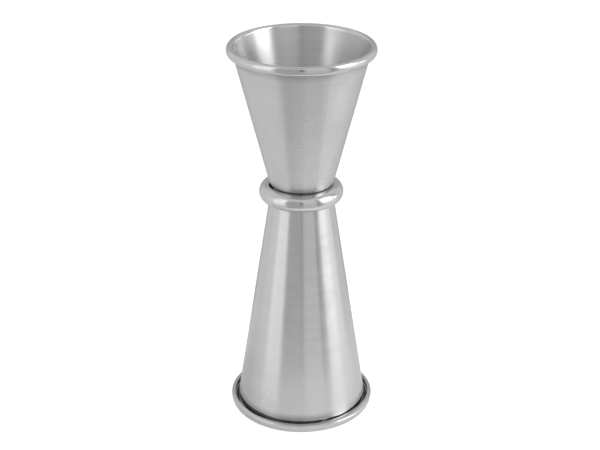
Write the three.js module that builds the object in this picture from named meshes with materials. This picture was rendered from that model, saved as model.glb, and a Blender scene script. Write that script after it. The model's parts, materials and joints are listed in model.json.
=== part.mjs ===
// A double-ended bar jigger in stainless steel, in millimetres, +Z up.
// The origin is on the axis, in the plane that the large cup's rolled rim stands on.
// Two drawn cones stand foot to foot: the large cup opens downwards and the small cup upwards.
// Three spot welds join the feet, and a hollow half-round ring sits round the neck,
// held by the large cup's taper below it and by the small cup's foot above it.
import * as THREE from "three";

// Driving dimensions.
const height = 119;
const sheet = 0.6;
const footGap = 0.3;

// Each cup, measured on its outside. Its plain wall runs from mouthRadius in the mouth plane to
// footRadius in the foot plane. The rolled rim is rimRadius at its widest, which is crestHeight from
// the mouth plane, and it is rimHeight high. land is the width of the flat that the rim stands on.
// rollEnd is the angle at which the rolled sheet ends, counted from outwards: 270 is in the mouth
// plane, 360 is the widest point and 450 is the top of the roll.
const largeCup = {
  length: 75.1,
  mouthRadius: 20.6,
  footRadius: 9.07,
  footCorner: 1.5,
  rimRadius: 22.55,
  rimHeight: 2.9,
  crestHeight: 2.3,
  land: 0.4,
  rollEnd: 446,
};
const smallCup = {
  length: height - largeCup.length - footGap,
  mouthRadius: 20.81,
  footRadius: 9.62,
  footCorner: 1.9,
  rimRadius: 22.05,
  rimHeight: 2.7,
  crestHeight: 1.4,
  land: 0.2,
  rollEnd: 465,
};

// The ring's section is a half-oval of sheet about a centre inside the bead.
// The ring sits a little to the -X side, because it is loose on the neck.
const ring = {
  outerRadius: 12.8,
  bulge: 2.75,
  centreHeight: 72.85,
  riseAbove: 2.75,
  dropBelow: 2.7,
  lowerEnd: -90,
  upperEnd: 95,
  sideways: -0.1,
};

const weld = { count: 3, radius: 1.5, circleRadius: 4.5 };

// Facets round the axis, and steps along each round stretch of an outline.
const turns = 48;
const cornerSteps = 4;
const innerRollSteps = 3;
const outerRollSteps = 4;
const overRollSteps = 4;
const ringSteps = 12;
const weldFacets = 16;

const { degToRad, radToDeg } = THREE.MathUtils;

function steel(color, roughness) {
  return new THREE.MeshStandardMaterial({ color, roughness, metalness: 1 });
}
const brushedSteel = steel(0xc4c4c2, 0.34);
const polishedSteel = steel(0xd0d0ce, 0.2);
const weldMetal = steel(0x9a958e, 0.55);

function part(name, geometry, material) {
  const mesh = new THREE.Mesh(geometry, material);
  mesh.name = name;
  return mesh;
}

// Angles from one limit to the other, both included.
function sweep(from, to, steps) {
  return Array.from({ length: steps + 1 }, (_, i) => from + ((to - from) * i) / steps);
}

// A point on an oval in the radius and height plane, with the oval's outward normal there.
function ovalPoint(centreR, centreZ, halfWidth, halfHeight, degrees) {
  const cosine = Math.cos(degToRad(degrees));
  const sine = Math.sin(degToRad(degrees));
  return {
    point: new THREE.Vector2(centreR + halfWidth * cosine, centreZ + halfHeight * sine),
    normal: new THREE.Vector2(halfHeight * cosine, halfWidth * sine).normalize(),
  };
}

function offset({ point, normal }, distance) {
  return point.clone().addScaledVector(normal, distance);
}

// A solid of revolution about Z from an outline in the radius and height plane.
function revolve(outline) {
  return new THREE.LatheGeometry(outline, turns).rotateX(Math.PI / 2);
}

// The angle between a cup's wall and its axis.
function wallLean(cup) {
  return Math.atan2(cup.mouthRadius - cup.footRadius, cup.length);
}

// The sheet's middle surface round the foot's corner, from the flat foot to the wall.
function footCornerLine(cup) {
  const lean = wallLean(cup);
  const centreZ = cup.length - cup.footCorner;
  const wallR = cup.mouthRadius - centreZ * Math.tan(lean);
  const centreR = wallR - cup.footCorner / Math.cos(lean);
  const radius = cup.footCorner - sheet / 2;
  return sweep(90, radToDeg(lean), cornerSteps).map((angle) =>
    ovalPoint(centreR, centreZ, radius, radius, angle),
  );
}

// The sheet's middle surface round the rolled rim. It leaves the wall on a tangent, turns out
// to the land in the mouth plane, and goes on past the widest point to the sheet's free edge.
function rolledRimLine(cup) {
  const lean = wallLean(cup);
  const centreZ = cup.crestHeight;
  const lowerHalf = cup.crestHeight - sheet / 2;
  const upperHalf = cup.rimHeight - cup.crestHeight - sheet / 2;
  const reach =
    (cup.rimRadius - cup.land - cup.mouthRadius) * Math.cos(lean) +
    (sheet / 2) * (1 - Math.cos(lean)) +
    centreZ * Math.sin(lean);
  const rise = lowerHalf * Math.sin(lean);
  const halfWidth = (reach ** 2 - rise ** 2) / (2 * reach * Math.cos(lean));
  const outerCentreR = cup.rimRadius - sheet / 2 - halfWidth;
  const innerCentreR = outerCentreR - cup.land;
  const start = 180 + radToDeg(Math.atan2(rise, halfWidth * Math.cos(lean)));
  const inner = sweep(start, 270, innerRollSteps).map((angle) =>
    ovalPoint(innerCentreR, centreZ, halfWidth, lowerHalf, angle),
  );
  const outer = sweep(270, 360, outerRollSteps).map((angle) =>
    ovalPoint(outerCentreR, centreZ, halfWidth, lowerHalf, angle),
  );
  const over = sweep(360, cup.rollEnd, overRollSteps).map((angle) =>
    ovalPoint(outerCentreR, centreZ, halfWidth, upperHalf, angle),
  );
  return [...inner, ...outer, ...over.slice(1)];
}

// One cup with its mouth plane at z = 0, opening downwards.
// The corner's normals point out of the cup, and the roll's point away from the roll's own hollow.
function cupGeometry(cup) {
  const corner = footCornerLine(cup);
  const roll = rolledRimLine(cup);
  const inside = [
    ...corner.map((place) => offset(place, -sheet / 2)),
    ...roll.map((place) => offset(place, sheet / 2)),
  ];
  const outside = [
    ...corner.map((place) => offset(place, sheet / 2)),
    ...roll.map((place) => offset(place, -sheet / 2)),
  ];
  return revolve([
    new THREE.Vector2(0, cup.length - sheet),
    ...inside,
    ...outside.reverse(),
    new THREE.Vector2(0, cup.length),
  ]);
}

function ringGeometry() {
  const centreR = ring.outerRadius - ring.bulge;
  const line = sweep(ring.lowerEnd, ring.upperEnd, ringSteps).map((angle) => {
    const halfHeight = angle < 0 ? ring.dropBelow : ring.riseAbove;
    return ovalPoint(centreR, ring.centreHeight, ring.bulge, halfHeight, angle);
  });
  const outer = line.map((place) => place.point);
  const inner = line.map((place) => offset(place, -sheet)).reverse();
  return revolve([...outer, ...inner, outer[0].clone()]);
}

function weldGeometry() {
  const { radius } = weld;
  return new THREE.CylinderGeometry(radius, radius, footGap, weldFacets).rotateX(Math.PI / 2);
}

const jigger = new THREE.Group();

jigger.add(part("large_cup", cupGeometry(largeCup), brushedSteel));

const small = part("small_cup", cupGeometry(smallCup), brushedSteel);
small.rotation.x = Math.PI;
small.position.z = height;
jigger.add(small);

const collar = part("waist_ring", ringGeometry(), polishedSteel);
collar.position.x = ring.sideways;
jigger.add(collar);

for (let i = 0; i < weld.count; i++) {
  const angle = (2 * Math.PI * i) / weld.count;
  const nugget = part(`foot_spot_weld_${i + 1}`, weldGeometry(), weldMetal);
  nugget.position.x = weld.circleRadius * Math.cos(angle);
  nugget.position.y = weld.circleRadius * Math.sin(angle);
  nugget.position.z = largeCup.length + footGap / 2;
  jigger.add(nugget);
}

export default jigger;
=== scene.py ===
import json
import math

import bmesh
import bpy
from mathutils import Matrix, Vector, noise

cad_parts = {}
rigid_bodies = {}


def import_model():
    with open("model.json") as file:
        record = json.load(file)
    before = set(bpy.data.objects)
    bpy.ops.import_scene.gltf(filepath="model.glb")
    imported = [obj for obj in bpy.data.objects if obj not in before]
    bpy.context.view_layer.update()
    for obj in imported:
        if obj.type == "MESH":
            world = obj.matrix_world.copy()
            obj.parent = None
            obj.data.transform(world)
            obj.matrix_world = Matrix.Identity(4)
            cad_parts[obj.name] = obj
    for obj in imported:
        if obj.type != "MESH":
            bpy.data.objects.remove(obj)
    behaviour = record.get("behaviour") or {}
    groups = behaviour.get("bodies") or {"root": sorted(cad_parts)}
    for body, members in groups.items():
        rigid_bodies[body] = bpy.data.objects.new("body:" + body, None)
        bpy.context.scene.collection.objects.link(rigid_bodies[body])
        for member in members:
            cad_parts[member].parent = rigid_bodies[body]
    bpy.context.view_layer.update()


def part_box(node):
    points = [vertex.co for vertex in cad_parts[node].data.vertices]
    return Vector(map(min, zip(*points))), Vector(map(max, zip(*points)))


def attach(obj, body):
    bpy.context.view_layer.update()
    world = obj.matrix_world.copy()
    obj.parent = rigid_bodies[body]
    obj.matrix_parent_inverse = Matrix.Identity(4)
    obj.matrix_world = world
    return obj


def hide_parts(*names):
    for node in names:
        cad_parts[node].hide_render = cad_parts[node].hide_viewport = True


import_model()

MM = 0.001

# ---------------------------------------------------------------- driving dimensions
# The frame gives each piece's outer size. What its box can't say is repeated here from the CAD,
# apart from where the two rolls end and the small cup's foot corner, which are a little different.
SHEET = 0.6 * MM
_, large_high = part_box("large_cup")
small_low, small_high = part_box("small_cup")
ring_low, ring_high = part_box("waist_ring")
HEIGHT = small_high[2]

# Each cup, measured on its outside. Its wall runs from mouth_radius in the mouth plane to foot_radius
# in the foot plane. The rolled rim is rim_radius at its widest, which is crest_height from the mouth
# plane, and it is rim_height high. land is the width of the flat that the rim stands on. roll_end is
# the angle at which the rolled sheet ends, counted from outwards: 270 degrees is in the mouth plane,
# 360 is the widest point and 450 is the top of the roll.
LARGE_CUP = {
    "name": "large_cup",
    "length": large_high[2],
    "mouth_radius": 20.6 * MM,
    "foot_radius": 9.07 * MM,
    "foot_corner": 1.5 * MM,
    "rim_radius": large_high[0],
    "rim_height": 2.9 * MM,
    "crest_height": 2.3 * MM,
    "land": 0.4 * MM,
    "roll_end": 444.0,
}
SMALL_CUP = {
    "name": "small_cup",
    "length": HEIGHT - small_low[2],
    "mouth_radius": 20.81 * MM,
    "foot_radius": 9.62 * MM,
    "foot_corner": 1.4 * MM,
    "rim_radius": small_high[0],
    "rim_height": 2.7 * MM,
    "crest_height": 1.4 * MM,
    "land": 0.2 * MM,
    "roll_end": 444.0,
}

# The ring's section is a half-oval of sheet about a centre inside the bead. Its lower end is in
# degrees, counted from outwards.
RING = {
    "outer_radius": (ring_high[0] - ring_low[0]) / 2,
    "sideways": (ring_high[0] + ring_low[0]) / 2,
    "bulge": 2.75 * MM,
    "centre_height": 72.85 * MM,
    "rise_above": 2.75 * MM,
    "drop_below": 2.7 * MM,
    "lower_end": -90.0,
}

# The ring's upper edge turns in to the neck as far as this angle, except on the left, where it ends
# sooner and leaves a wider gap. All four are in degrees.
BEAD_TURN_IN = 112.0
BEAD_GAP_AT = -64.0
BEAD_GAP_HALF_WIDTH = 30.0
BEAD_GAP = 27.0

# The free edge of a rolled rim isn't quite even: it wanders in a few slow waves, each
# (waves per turn, how far the roll's end moves in degrees, where the wave starts in degrees).
EDGE_WAVES = ((2, 2.5, 40), (5, 1.5, 200), (9, 1.0, 310))
# On the large cup it also bends in towards the wall to the right of the front, most of all in one
# short dent, and it stands off on the left. Each bend is (azimuth, half width, how far the roll's end
# moves), all in degrees.
EDGE_BENDS = {"large_cup": ((19.7, 3.0, 30), (46, 22, 34), (-45, 25, -6)), "small_cup": ()}
# A free edge is rounded, and stands out by this part of what a half circle would.
EDGE_ROUNDNESS = 0.5

# The spun sheet is out of true by a few hundredths of a millimetre, except at its rims.
WAVINESS = 0.03 * MM
WAVE_LENGTH = 14 * MM
TRUE_RIM_HEIGHT = 6 * MM

# The spot welds that join the feet leave round marks in the floor of each cup.
WELD_COUNT = 3
WELD_MARK_RADIUS = 1.5 * MM
WELD_CIRCLE_RADIUS = 4.5 * MM
WELD_MARK_DEPTH = 0.08 * MM
# The sheet is true, apart from those marks, this near the axis.
TRUE_RADIUS = WELD_CIRCLE_RADIUS * 2

# How finely the surfaces are divided.
TURNS = 288
CORNER_STEPS = 10
ROLL_STEPS = 16
WALL_STEPS = 44
FLOOR_STEPS = 22
EDGE_STEPS = 10
BEAD_STEPS = 48

# The camera stands in front of the jigger, above it, and looks down at it.
CAMERA_AT = Vector((-0.48 * MM, -389.58 * MM, 241.76 * MM))
CAMERA_PITCH = math.radians(24.87)
# Blender takes the lens and the sensor in millimetres.
CAMERA_LENS = 83.82
CAMERA_SENSOR_WIDTH = 36
# The camera sees nothing that is nearer than this, in metres.
CAMERA_CLIP_START = 0.01


# ---------------------------------------------------------------- outlines
# An outline is a list of (point, finish): a point is (radius, height), and the finish is the one of
# the face that follows it. A place on the sheet's middle surface is (point, normal).
INSIDE, RIM, OUTSIDE = range(3)
BEAD = 0


def sweep(start, end, steps):
    return [start + (end - start) * i / steps for i in range(steps + 1)]


def oval_place(centre, half_width, half_height, degrees):
    cosine = math.cos(math.radians(degrees))
    sine = math.sin(math.radians(degrees))
    normal = Vector((half_height * cosine, half_width * sine)).normalized()
    return Vector((centre[0] + half_width * cosine, centre[1] + half_height * sine)), normal


def offset(place, distance):
    point, normal = place
    return point + normal * distance


def finished(points, finish):
    return [(point, finish) for point in points]


# The points between two ends, without the ends themselves.
def straight(start, end, steps):
    return [start.lerp(end, i / steps) for i in range(1, steps)]


# The angle between a cup's wall and its axis.
def wall_lean(cup):
    return math.atan2(cup["mouth_radius"] - cup["foot_radius"], cup["length"])


def foot_corner_line(cup):
    lean = wall_lean(cup)
    centre_z = cup["length"] - cup["foot_corner"]
    wall_r = cup["mouth_radius"] - centre_z * math.tan(lean)
    centre = (wall_r - cup["foot_corner"] / math.cos(lean), centre_z)
    radius = cup["foot_corner"] - SHEET / 2
    angles = sweep(90, math.degrees(lean), CORNER_STEPS)
    return [oval_place(centre, radius, radius, angle) for angle in angles]


# The wall turns outwards and up into a roll whose lower half is taller than its upper half.
def rolled_rim_line(cup, roll_end):
    lean = wall_lean(cup)
    centre_z = cup["crest_height"]
    lower_half = cup["crest_height"] - SHEET / 2
    upper_half = cup["rim_height"] - cup["crest_height"] - SHEET / 2
    reach = (
        (cup["rim_radius"] - cup["land"] - cup["mouth_radius"]) * math.cos(lean)
        + SHEET / 2 * (1 - math.cos(lean))
        + centre_z * math.sin(lean)
    )
    rise = lower_half * math.sin(lean)
    half_width = (reach**2 - rise**2) / (2 * reach * math.cos(lean))
    outer = (cup["rim_radius"] - SHEET / 2 - half_width, centre_z)
    inner = (outer[0] - cup["land"], centre_z)
    start = 180 + math.degrees(math.atan2(rise, half_width * math.cos(lean)))
    line = [oval_place(inner, half_width, lower_half, a) for a in sweep(start, 270, ROLL_STEPS)]
    line += [oval_place(outer, half_width, lower_half, a) for a in sweep(270, 360, ROLL_STEPS)]
    over = sweep(360, roll_end, ROLL_STEPS)[1:]
    return line + [oval_place(outer, half_width, upper_half, a) for a in over]


# A smooth bump that is 1 at one azimuth and falls away to both sides.
def bell(azimuth, centre, half_width):
    aside = (azimuth - centre + 180) % 360 - 180
    return math.exp(-((aside / half_width) ** 2))


# Where the roll ends at one azimuth, which is 0 at the front and grows to the right.
def roll_end_at(cup, azimuth):
    waves = [size * math.sin(math.radians(count * azimuth + start)) for count, size, start in EDGE_WAVES]
    bends = [turn * bell(azimuth, at, width) for at, width, turn in EDGE_BENDS[cup["name"]]]
    return cup["roll_end"] + sum(waves) + sum(bends)


# The rounded free edge of the sheet, from its inner side round to its outer side.
def free_edge(place, direction):
    point, normal = place
    ahead = direction.normalized() * EDGE_ROUNDNESS
    edge = []
    for angle in sweep(90, -90, EDGE_STEPS)[1:-1]:
        turn = math.radians(angle)
        side = normal * math.sin(turn) + ahead * math.cos(turn)
        edge.append(point + side * SHEET / 2)
    return edge


# One cup with its mouth at height 0 and opening downwards, from the axis inside to the axis outside.
def cup_outline(cup, azimuth):
    corner = foot_corner_line(cup)
    roll = rolled_rim_line(cup, roll_end_at(cup, azimuth))
    inside_corner = [offset(place, -SHEET / 2) for place in corner]
    inside_roll = [offset(place, SHEET / 2) for place in roll]
    outside_corner = [offset(place, SHEET / 2) for place in corner]
    outside_roll = [offset(place, -SHEET / 2) for place in roll]
    inside_axis = Vector((0, cup["length"] - SHEET))
    outside_axis = Vector((0, cup["length"]))
    inside = [inside_axis] + straight(inside_axis, inside_corner[0], FLOOR_STEPS) + inside_corner
    inside += straight(inside_corner[-1], inside_roll[0], WALL_STEPS)
    rim = inside_roll + free_edge(roll[-1], roll[-1][0] - roll[-2][0]) + outside_roll[::-1]
    outside = straight(outside_roll[0], outside_corner[-1], WALL_STEPS) + outside_corner[::-1]
    outside.append(outside_axis)
    return finished(inside, INSIDE) + finished(rim, RIM) + finished(outside, OUTSIDE)


# The bead's section as a closed loop, with both of its edges rounded.
def ring_outline(azimuth):
    centre = (RING["outer_radius"] - RING["bulge"], RING["centre_height"])
    half_width = RING["bulge"] - SHEET / 2
    upper_end = BEAD_TURN_IN - BEAD_GAP * bell(azimuth, BEAD_GAP_AT, BEAD_GAP_HALF_WIDTH)
    line = []
    for angle in sweep(RING["lower_end"], upper_end, BEAD_STEPS):
        half_height = RING["drop_below"] if angle < 0 else RING["rise_above"]
        line.append(oval_place(centre, half_width, half_height - SHEET / 2, angle))
    outer = [offset(place, SHEET / 2) for place in line]
    inner = [offset(place, -SHEET / 2) for place in line]
    upper_edge = free_edge(line[-1], line[-1][0] - line[-2][0])
    lower_edge = free_edge(line[0], line[0][0] - line[1][0])
    return finished(outer + upper_edge + inner[::-1] + lower_edge[::-1], BEAD)


# ---------------------------------------------------------------- meshes
# Turns an outline round the axis. outline_at gives the outline at an azimuth, and reshape moves each
# vertex a little from where the outline puts it. A closed outline joins its last point to its first.
# A point on the axis gives a single vertex, and the faces next to it are triangles.
def revolve(name, outline_at, closed=False, reshape=None, turn_over=False, at=(0, 0, 0)):
    mesh = bmesh.new()
    outlines = [outline_at(360 * i / TURNS) for i in range(TURNS)]
    finishes = [finish for _, finish in outlines[0]]
    rings = []
    for row in range(len(finishes)):
        ring = []
        for i, outline in enumerate(outlines):
            radius, height = outline[row][0]
            turn = 2 * math.pi * i / TURNS
            z = HEIGHT - height if turn_over else height
            point = Vector((radius * math.sin(turn), -radius * math.cos(turn), z))
            ring.append(mesh.verts.new(reshape(point, finishes[row]) if reshape else point))
            if radius == 0:
                break
        rings.append(ring)
    pairs = list(zip(rings, rings[1:], finishes))
    if closed:
        pairs.append((rings[-1], rings[0], finishes[-1]))
    for low, high, finish in pairs:
        for i in range(TURNS):
            j = (i + 1) % TURNS
            corners = [low[i % len(low)], low[j % len(low)], high[j % len(high)], high[i % len(high)]]
            face = mesh.faces.new(list(dict.fromkeys(corners)))
            face.material_index = finish
            face.smooth = True
    bmesh.ops.translate(mesh, verts=mesh.verts, vec=at)
    bmesh.ops.recalc_face_normals(mesh, faces=mesh.faces)
    data = bpy.data.meshes.new(name)
    mesh.to_mesh(data)
    mesh.free()
    piece = bpy.data.objects.new(name, data)
    bpy.context.scene.collection.objects.link(piece)
    return piece


# Gives a cup's wall its slight waviness and the floor inside it the marks of the spot welds.
def reshape_cup(point, finish):
    radius = math.hypot(point.x, point.y)
    if radius > TRUE_RADIUS:
        from_rim = min(point.z, HEIGHT - point.z)
        calm = min(max(from_rim / TRUE_RIM_HEIGHT - 1, 0), 1)
        outward = Vector((point.x, point.y, 0)) / radius
        return point + outward * (noise.noise(point / WAVE_LENGTH) * WAVINESS * calm)
    if finish == INSIDE:
        toward_joint = 1 if point.z < LARGE_CUP["length"] else -1
        return point + Vector((0, 0, toward_joint * weld_mark_depth(point)))
    return point


def weld_mark_depth(point):
    depth = 0
    for i in range(WELD_COUNT):
        turn = 2 * math.pi * i / WELD_COUNT
        centre = Vector((math.cos(turn), math.sin(turn))) * WELD_CIRCLE_RADIUS
        away = (Vector((point.x, point.y)) - centre).length / WELD_MARK_RADIUS
        depth += WELD_MARK_DEPTH * math.exp(-(away**4))
    return depth


# ---------------------------------------------------------------- materials
class Nodes:
    """A small helper that adds shader nodes and links them."""

    def __init__(self, tree):
        self.tree = tree
        tree.nodes.clear()

    def add(self, kind, **settings):
        node = self.tree.nodes.new(kind)
        for key, value in settings.items():
            setattr(node, key, value)
        return node

    def link(self, source, target):
        self.tree.links.new(source, target)

    # Gives a socket a number or a link.
    def put(self, value, socket):
        if isinstance(value, (int, float)):
            socket.default_value = value
        else:
            self.link(value, socket)

    def math(self, operation, first, second=None):
        node = self.add("ShaderNodeMath", operation=operation)
        self.put(first, node.inputs[0])
        if second is not None:
            self.put(second, node.inputs[1])
        return node.outputs[0]

    # The point that is shaded, in the coordinates of that name.
    def point(self, coordinates):
        return self.add("ShaderNodeTexCoord").outputs[coordinates]

    # A vector's x, y and z.
    def split(self, vector):
        node = self.add("ShaderNodeSeparateXYZ")
        self.link(vector, node.inputs[0])
        return node.outputs

    # 0 where the value is at start, 1 where it is at end, with a smooth change between them.
    def fade(self, value, start, end):
        node = self.add("ShaderNodeMapRange", interpolation_type="SMOOTHSTEP")
        self.link(value, node.inputs["Value"])
        node.inputs["From Min"].default_value = start
        node.inputs["From Max"].default_value = end
        return node.outputs["Result"]

    def combine(self, x, y, z):
        node = self.add("ShaderNodeCombineXYZ")
        for value, socket in zip((x, y, z), node.inputs):
            self.put(value, socket)
        return node.outputs[0]

    # Noise between about -0.5 and 0.5.
    def noise(self, vector, scale, detail=2.0, roughness=0.5, w=None):
        node = self.add("ShaderNodeTexNoise", noise_dimensions="3D" if w is None else "4D")
        self.link(vector, node.inputs["Vector"])
        if w is not None:
            self.link(w, node.inputs["W"])
        node.inputs["Scale"].default_value = scale
        node.inputs["Detail"].default_value = detail
        node.inputs["Roughness"].default_value = roughness
        return self.math("SUBTRACT", node.outputs["Fac"], 0.5)


# Streaks of turned steel: (width across them, length along them in radians, detail, shift). The shift
# keeps two kinds of streak from falling in the same places.
FINE_STREAKS = (0.15 * MM, 0.8, 2.0, 0.0)
MIDDLE_STREAKS = (0.5 * MM, 1.2, 2.0, 7.0)
BROAD_STREAKS = (2.5 * MM, 1.5, 2.0, 31.0)
THIN_STREAKS = (0.14 * MM, 0.9, 0.0, 77.0)
# A place that is nearer to the axis than this counts as this far from it.
NEAREST_RADIUS = 0.1 * MM

# The cloudy patches.
PATCH_SIZE = 9 * MM
PATCH_DETAIL = 4.0
PATCH_ROUGHNESS = 0.6

# A scratch is the highest part of a thin streak: it starts at the first of these values of the noise
# and is full at the second. Scratches come only in some areas, which a wider noise picks likewise.
SCRATCH_FADE = (0.18, 0.26)
SCRATCH_AREA_SIZE = 7 * MM
SCRATCH_AREA_DETAIL = 1.0
SCRATCH_AREA_FADE = (0.0, 0.12)

# Dark pits and specks sit in some of the cells of a grid of this size, and each one's edge is between
# these distances from its middle, in cells.
PIT_SPACING = 5 * MM
PIT_CELLS_LEFT_OUT = 0.8
PIT_FADE = (0.045, 0.02)

# A cup's wall is darker next to its rolled rim and next to the ring, which is painted shade, and rougher
# there:
# fully at the first of these distances from the mouth or from the feet, and not at all at the second.
SHADE_AND_DULL_BY_RIM = (3.2 * MM, 5.8 * MM)
SHADE_AND_DULL_BY_RING = (1.2 * MM, 2.6 * MM)

# How much each kind of mark changes the steel's brightness, its roughness and its height, which is
# in metres.
MARKS_IN_SHADE = {
    "fine": 0.07,
    "middle": 0.16,
    "broad": 0.10,
    "patches": 0.12,
    "scratch": 0.10,
    "pit": -0.25,
    # The corner mark darkens the colour by the rims and the ring: painted shade.
    "corner": -1.0,
}
MARKS_IN_ROUGHNESS = {"middle": 0.10, "patches": 0.12, "scratch": 0.12, "corner": 0.8}
MARKS_IN_HEIGHT = {"fine": 0.001 * MM, "middle": 0.0025 * MM, "broad": 0.008 * MM, "scratch": -0.004 * MM}
LEAST_ROUGHNESS = 0.05

# A quarter of a turn, which lays the brush lines round the axis.
BRUSH_DIRECTION = 0.25


class Marks:
    """The marks on turned steel, as noises in the piece's own coordinates round the Z axis."""

    def __init__(self, nodes):
        self.nodes = nodes
        self.point = nodes.point("Object")
        x, y, self.z = nodes.split(self.point)
        square = nodes.math("ADD", nodes.math("MULTIPLY", x, x), nodes.math("MULTIPLY", y, y))
        self.radius = nodes.math("MAXIMUM", nodes.math("SQRT", square), NEAREST_RADIUS)
        self.across = nodes.math("DIVIDE", x, self.radius)
        self.along = nodes.math("DIVIDE", y, self.radius)

    # Streaks that run round the axis.
    def streaks(self, width, length, detail, shift):
        nodes = self.nodes
        u = nodes.math("DIVIDE", self.across, length)
        v = nodes.math("DIVIDE", self.along, length)
        height = nodes.math("ADD", nodes.math("DIVIDE", self.z, width), shift)
        depth = nodes.math("DIVIDE", self.radius, width)
        return nodes.noise(nodes.combine(u, v, height), 1.0, detail, w=depth)

    def patches(self):
        return self.nodes.noise(self.point, 1 / PATCH_SIZE, PATCH_DETAIL, PATCH_ROUGHNESS)

    def scratch(self):
        nodes = self.nodes
        area = nodes.noise(self.point, 1 / SCRATCH_AREA_SIZE, SCRATCH_AREA_DETAIL)
        thin = nodes.fade(self.streaks(*THIN_STREAKS), *SCRATCH_FADE)
        return nodes.math("MULTIPLY", thin, nodes.fade(area, *SCRATCH_AREA_FADE))

    def pit(self):
        nodes = self.nodes
        cells = nodes.add("ShaderNodeTexVoronoi", feature="F1")
        nodes.link(self.point, cells.inputs["Vector"])
        cells.inputs["Scale"].default_value = 1 / PIT_SPACING
        pick = nodes.add("ShaderNodeSeparateColor")
        nodes.link(cells.outputs["Color"], pick.inputs[0])
        chosen = nodes.math("GREATER_THAN", pick.outputs[0], PIT_CELLS_LEFT_OUT)
        return nodes.math("MULTIPLY", nodes.fade(cells.outputs["Distance"], *PIT_FADE), chosen)

    # 1 in the corners by the rims and by the ring, and 0 away from them: where painted shade darkens the
    # colour and the steel is rougher.
    def corner(self):
        nodes = self.nodes
        from_rim = nodes.math("MINIMUM", self.z, nodes.math("SUBTRACT", HEIGHT, self.z))
        from_feet = nodes.math("ABSOLUTE", nodes.math("SUBTRACT", self.z, LARGE_CUP["length"]))
        by_rim = nodes.fade(from_rim, SHADE_AND_DULL_BY_RIM[1], SHADE_AND_DULL_BY_RIM[0])
        by_ring = nodes.fade(from_feet, SHADE_AND_DULL_BY_RING[1], SHADE_AND_DULL_BY_RING[0])
        return nodes.math("MAXIMUM", by_rim, by_ring)


# A base plus the marks, each times its strength on this steel and the amount that it counts for.
def with_marks(nodes, marks, amounts, base):
    total = 0.0
    for name, amount in amounts.items():
        mark, strength = marks[name]
        total = nodes.math("ADD", total, nodes.math("MULTIPLY", mark, amount * strength))
    return nodes.math("ADD", total, base)


# Brushed or spun stainless steel whose fine lines run round the axis. lines, clouds and scratches are
# the strengths of its streaks, its cloudy patches, and its stray scratches and pits. The last strength is
# how much a wall's colour is darkened in its corners, which is painted shade, and how much rougher it is
# there, where the brush doesn't reach.
def turned_steel(name, color, roughness, anisotropy, lines, clouds, scratches, corner_shade_and_dullness=0.0):
    material = bpy.data.materials.new(name)
    material.use_nodes = True
    nodes = Nodes(material.node_tree)
    output = nodes.add("ShaderNodeOutputMaterial")
    shader = nodes.add("ShaderNodeBsdfPrincipled")
    nodes.link(shader.outputs[0], output.inputs["Surface"])
    shader.inputs["Metallic"].default_value = 1.0
    shader.inputs["Anisotropic"].default_value = anisotropy
    shader.inputs["Anisotropic Rotation"].default_value = BRUSH_DIRECTION
    tangent = nodes.add("ShaderNodeTangent", direction_type="RADIAL", axis="Z")
    nodes.link(tangent.outputs[0], shader.inputs["Tangent"])

    surface = Marks(nodes)
    marks = {
        "fine": (surface.streaks(*FINE_STREAKS), lines),
        "middle": (surface.streaks(*MIDDLE_STREAKS), lines),
        "broad": (surface.streaks(*BROAD_STREAKS), lines),
        "patches": (surface.patches(), clouds),
        "scratch": (surface.scratch(), scratches),
        "pit": (surface.pit(), scratches),
        "corner": (surface.corner(), corner_shade_and_dullness),
    }

    tint = nodes.add("ShaderNodeVectorMath", operation="SCALE")
    tint.inputs[0].default_value = color
    nodes.link(with_marks(nodes, marks, MARKS_IN_SHADE, 1.0), tint.inputs["Scale"])
    nodes.link(tint.outputs[0], shader.inputs["Base Color"])

    rough = with_marks(nodes, marks, MARKS_IN_ROUGHNESS, roughness)
    nodes.link(nodes.math("MAXIMUM", rough, LEAST_ROUGHNESS), shader.inputs["Roughness"])

    bump = nodes.add("ShaderNodeBump")
    bump.inputs["Strength"].default_value = 1.0
    bump.inputs["Distance"].default_value = 1.0
    nodes.link(with_marks(nodes, marks, MARKS_IN_HEIGHT, 0.0), bump.inputs["Height"])
    nodes.link(bump.outputs[0], shader.inputs["Normal"])
    return material


STEEL = (0.6, 0.6, 0.6)
INSIDE_STEEL = (0.67, 0.67, 0.67)
WELD_STEEL = (0.42, 0.40, 0.38)

inside_steel = turned_steel(
    "inside_steel", INSIDE_STEEL, roughness=0.36, anisotropy=0.92, lines=1.3, clouds=1.0, scratches=1.0
)
rim_steel = turned_steel(
    "rim_steel", STEEL, roughness=0.13, anisotropy=0.3, lines=0.5, clouds=0.6, scratches=0.8
)
large_steel = turned_steel(
    "large_outside_steel",
    STEEL,
    roughness=0.25,
    anisotropy=0.9,
    lines=0.6,
    clouds=1.0,
    scratches=0.1,
    corner_shade_and_dullness=0.2,
)
small_steel = turned_steel(
    "small_outside_steel",
    STEEL,
    roughness=0.27,
    anisotropy=0.9,
    lines=0.45,
    clouds=1.4,
    scratches=0.4,
    corner_shade_and_dullness=0.18,
)
ring_steel = turned_steel(
    "ring_steel", STEEL, roughness=0.14, anisotropy=0.2, lines=0.5, clouds=0.8, scratches=1.0
)
weld_steel = turned_steel(
    "weld_steel", WELD_STEEL, roughness=0.45, anisotropy=0.0, lines=0.5, clouds=2.0, scratches=0.0
)


# ---------------------------------------------------------------- the object
large_cup = revolve(
    "large_cup_sheet", lambda azimuth: cup_outline(LARGE_CUP, azimuth), reshape=reshape_cup
)
small_cup = revolve(
    "small_cup_sheet", lambda azimuth: cup_outline(SMALL_CUP, azimuth), reshape=reshape_cup, turn_over=True
)
waist_ring = revolve("waist_ring_bead", ring_outline, closed=True, at=(RING["sideways"], 0, 0))

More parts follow.
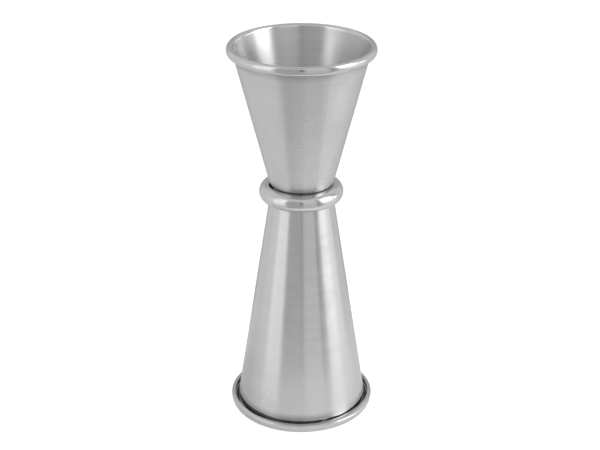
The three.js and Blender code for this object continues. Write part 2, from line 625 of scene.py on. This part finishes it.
# Each cup's finishes are in the order of INSIDE, RIM and OUTSIDE.
for piece, node, finishes, slot in (
    (large_cup, "large_cup", (inside_steel, rim_steel, large_steel), "cup_steel"),
    (small_cup, "small_cup", (inside_steel, rim_steel, small_steel), "cup_steel"),
    (waist_ring, "waist_ring", (ring_steel,), "ring_steel"),
):
    for finish in finishes:
        piece.data.materials.append(finish)
    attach(piece, "root")
    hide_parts(node)

# The CAD's weld nuggets stay as they are, in better steel.
for weld in [obj for obj in bpy.context.scene.objects if obj.name.startswith("foot_spot_weld")]:
    for material_slot in weld.material_slots:
        material_slot.material = weld_steel


# ---------------------------------------------------------------- camera, floor and light
def make_camera():
    data = bpy.data.cameras.new("camera")
    data.sensor_fit = "HORIZONTAL"
    data.sensor_width = CAMERA_SENSOR_WIDTH
    data.lens = CAMERA_LENS
    data.clip_start = CAMERA_CLIP_START
    camera = bpy.data.objects.new("camera", data)
    camera.location = CAMERA_AT
    camera.rotation_euler = (math.pi / 2 - CAMERA_PITCH, 0, 0)
    bpy.context.scene.collection.objects.link(camera)
    bpy.context.scene.camera = camera


# The studio, as each direction sees it: an even sky, with lamps and cards that add light or, where
# their light is negative, dark things that take it away. Azimuth is 0 towards the camera and grows to
# the right, and elevation is 0 at the horizon. All angles are in degrees.
SKY = 0.8
# The camera itself sees none of this, only plain white of this strength.
BACKGROUND = 1.1
STUDIO = (
    # name, azimuth, half width, soft edge, lowest, highest, soft top and bottom, light
    ("right_softbox", 73, 15, 3, 3, 42, 6, 3.0),
    ("softbox_side", 92, 5, 6, 8, 40, 6, 0.85),
    ("low_strip", 103, 7, 4, 0, 15, 4, 0.9),
    ("dark_side", 109, 5, 3, 8, 60, 8, -0.3),
    ("right_card", 88, 20, 9, -30, 8, 8, 0.3),
    ("low_right_card", 57, 11, 5, -100, -30, 6, 0.2),
    ("left_softbox", -60, 17, 6, -20, 45, 8, 0.38),
    ("left_strip", -53, 9, 4, 8, 50, 8, 0.25),
    ("left_card", -85, 20, 8, -20, 20, 8, 0.12),
    ("dark_front", 8, 50, 6, -100, 42, 8, -0.27),
    ("pale_front", 24, 18, 2, -38, 42, 8, 0.17),
    ("pale_above", 24, 18, 2, 12, 60, 8, 0.09),
    ("dark_back", 180, 32, 15, -50, 35, 8, -0.28),
    ("camera", 0, 2.5, 1, 0, 32, 3, -0.34),
    ("light_stand", 46, 2, 1, -12, 4, 4, -0.28),
    ("ceiling", 0, 200, 1, 65, 120, 12, -0.2),
)
WHITE = (1, 1, 1, 1)


# How far the direction x, y is turned from an azimuth, to either side, in degrees.
def turn_from(nodes, x, y, azimuth):
    sine = math.sin(math.radians(azimuth))
    cosine = math.cos(math.radians(azimuth))
    along = nodes.math("SUBTRACT", nodes.math("MULTIPLY", x, sine), nodes.math("MULTIPLY", y, cosine))
    across = nodes.math("ADD", nodes.math("MULTIPLY", x, cosine), nodes.math("MULTIPLY", y, sine))
    return nodes.math("ABSOLUTE", nodes.math("DEGREES", nodes.math("ARCTAN2", across, along)))


def make_world():
    world = bpy.data.worlds.new("studio")
    bpy.context.scene.world = world
    world.use_nodes = True
    nodes = Nodes(world.node_tree)
    output = nodes.add("ShaderNodeOutputWorld")
    x, y, z = nodes.split(nodes.point("Generated"))
    elevation = nodes.math("DEGREES", nodes.math("ARCSINE", z))
    total = SKY
    for _, azimuth, half_width, edge, low, high, fade, light in STUDIO:
        beside = nodes.fade(turn_from(nodes, x, y, azimuth), half_width + edge, half_width - edge)
        above = nodes.fade(elevation, low - fade, low + fade)
        below = nodes.fade(elevation, high + fade, high - fade)
        shape = nodes.math("MULTIPLY", nodes.math("MULTIPLY", beside, above), below)
        total = nodes.math("ADD", nodes.math("MULTIPLY", shape, light), total)
    studio = nodes.add("ShaderNodeBackground")
    studio.inputs["Color"].default_value = WHITE
    nodes.link(total, studio.inputs["Strength"])
    background = nodes.add("ShaderNodeBackground")
    background.inputs["Color"].default_value = WHITE
    background.inputs["Strength"].default_value = BACKGROUND
    seen = nodes.add("ShaderNodeLightPath")
    choice = nodes.add("ShaderNodeMixShader")
    nodes.link(seen.outputs["Is Camera Ray"], choice.inputs[0])
    nodes.link(studio.outputs[0], choice.inputs[1])
    nodes.link(background.outputs[0], choice.inputs[2])
    nodes.link(choice.outputs[0], output.inputs["Surface"])


# A round white board under the jigger, whose soft shade shows only close to the rim.
FLOOR_RADIUS = 85 * MM
FLOOR_AT = (10 * MM, -5 * MM, 0)
FLOOR_ALBEDO = 0.9
# It glows towards this azimuth, fully at this distance from its middle and not at all as far behind.
FLOOR_GLOW = 0.24
FLOOR_GLOW_TOWARDS = math.radians(38.0)
FLOOR_GLOW_REACH = 45 * MM
# Only the camera sees this further light.
FLOOR_LIFT = 0.5


def floor_white():
    material = bpy.data.materials.new("floor_white")
    material.use_nodes = True
    nodes = Nodes(material.node_tree)
    output = nodes.add("ShaderNodeOutputMaterial")
    matt = nodes.add("ShaderNodeBsdfDiffuse")
    matt.inputs["Color"].default_value = (FLOOR_ALBEDO, FLOOR_ALBEDO, FLOOR_ALBEDO, 1)
    glow = nodes.add("ShaderNodeEmission")
    seen = nodes.add("ShaderNodeLightPath")
    lift = nodes.math("MULTIPLY", seen.outputs["Is Camera Ray"], FLOOR_LIFT)
    x, y, _ = nodes.split(nodes.point("Object"))
    to_right = nodes.math("MULTIPLY", x, math.sin(FLOOR_GLOW_TOWARDS))
    to_front = nodes.math("MULTIPLY", y, -math.cos(FLOOR_GLOW_TOWARDS))
    lit = nodes.fade(nodes.math("ADD", to_right, to_front), -FLOOR_GLOW_REACH, FLOOR_GLOW_REACH)
    strength = nodes.math("ADD", lift, nodes.math("MULTIPLY", lit, FLOOR_GLOW))
    nodes.link(strength, glow.inputs["Strength"])
    both = nodes.add("ShaderNodeAddShader")
    nodes.link(matt.outputs[0], both.inputs[0])
    nodes.link(glow.outputs[0], both.inputs[1])
    nodes.link(both.outputs[0], output.inputs["Surface"])
    return material


def make_floor():
    mesh = bmesh.new()
    bmesh.ops.create_circle(mesh, cap_ends=True, segments=TURNS, radius=FLOOR_RADIUS)
    data = bpy.data.meshes.new("floor")
    mesh.to_mesh(data)
    mesh.free()
    data.materials.append(floor_white())
    floor = bpy.data.objects.new("floor", data)
    floor.location = FLOOR_AT
    bpy.context.scene.collection.objects.link(floor)


make_camera()
make_world()
make_floor()
bpy.context.scene.view_settings.view_transform = "Standard"
